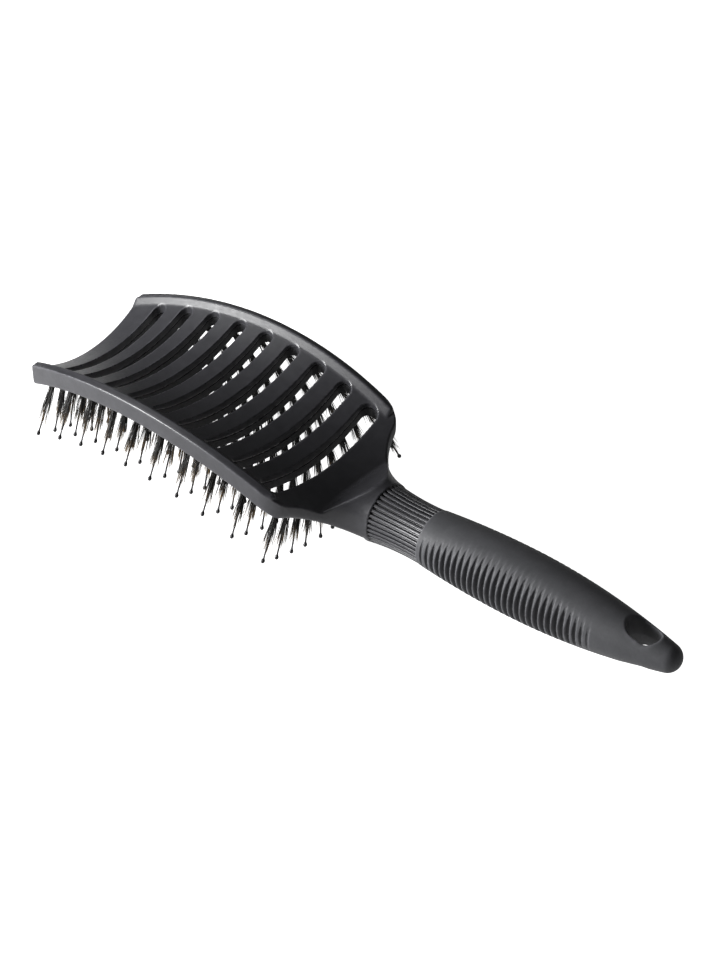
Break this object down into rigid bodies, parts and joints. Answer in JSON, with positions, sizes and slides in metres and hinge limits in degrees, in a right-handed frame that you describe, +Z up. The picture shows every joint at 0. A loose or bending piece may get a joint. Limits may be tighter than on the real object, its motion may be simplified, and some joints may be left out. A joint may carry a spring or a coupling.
{
  "type": "vent hair brush",
  "caption": "Curved vent hair brush: an arched slotted head between two rails, rows of boar tufts with ball-tipped nylon pins, a fluted neck and a ribbed rubber grip with a hanging hole.",
  "frame": {"origin": "on the floor, under the middle of the brush's length and width, with the bristles pointing down", "axes": "+X along the brush from the tip of the head to the end of the handle, +Y across the head, +Z up through the back of the head, away from the bristles"},
  "size_m": [0.2488, 0.0768, 0.0445],
  "materials": {
    "frame_plastic": "satin moulded nylon, charcoal black",
    "plate_plastic": "satin moulded nylon, black",
    "grip_rubber": "soft-touch rubber, charcoal black, fine matte grain",
    "boar_hair": "black boar hair with golden-brown split tips",
    "pin_nylon": "black nylon filament",
    "anchor_wire": "flat anchor wire"
  },
  "bodies": {
    "root": {"head_frame": "frame_plastic", "bristle_plate": "plate_plastic", "rubber_grip": "grip_rubber", "boar_tufts_row_01": "boar_hair", "boar_tufts_row_02": "boar_hair", "boar_tufts_row_03": "boar_hair", "boar_tufts_row_04": "boar_hair", "boar_tufts_row_05": "boar_hair", "boar_tufts_row_06": "boar_hair", "boar_tufts_row_07": "boar_hair", "boar_tufts_row_08": "boar_hair", "boar_tufts_row_09": "boar_hair", "boar_tufts_row_10": "boar_hair", "nylon_pins_row_01": "pin_nylon", "nylon_pins_row_02": "pin_nylon", "nylon_pins_row_03": "pin_nylon", "nylon_pins_row_04": "pin_nylon", "nylon_pins_row_05": "pin_nylon", "nylon_pins_row_06": "pin_nylon", "nylon_pins_row_07": "pin_nylon", "nylon_pins_row_08": "pin_nylon", "nylon_pins_row_09": "pin_nylon", "nylon_pins_row_10": "pin_nylon", "anchor_staples_row_01": "anchor_wire", "anchor_staples_row_02": "anchor_wire", "anchor_staples_row_03": "anchor_wire", "anchor_staples_row_04": "anchor_wire", "anchor_staples_row_05": "anchor_wire", "anchor_staples_row_06": "anchor_wire", "anchor_staples_row_07": "anchor_wire", "anchor_staples_row_08": "anchor_wire", "anchor_staples_row_09": "anchor_wire", "anchor_staples_row_10": "anchor_wire"}
  },
  "joints": []
}
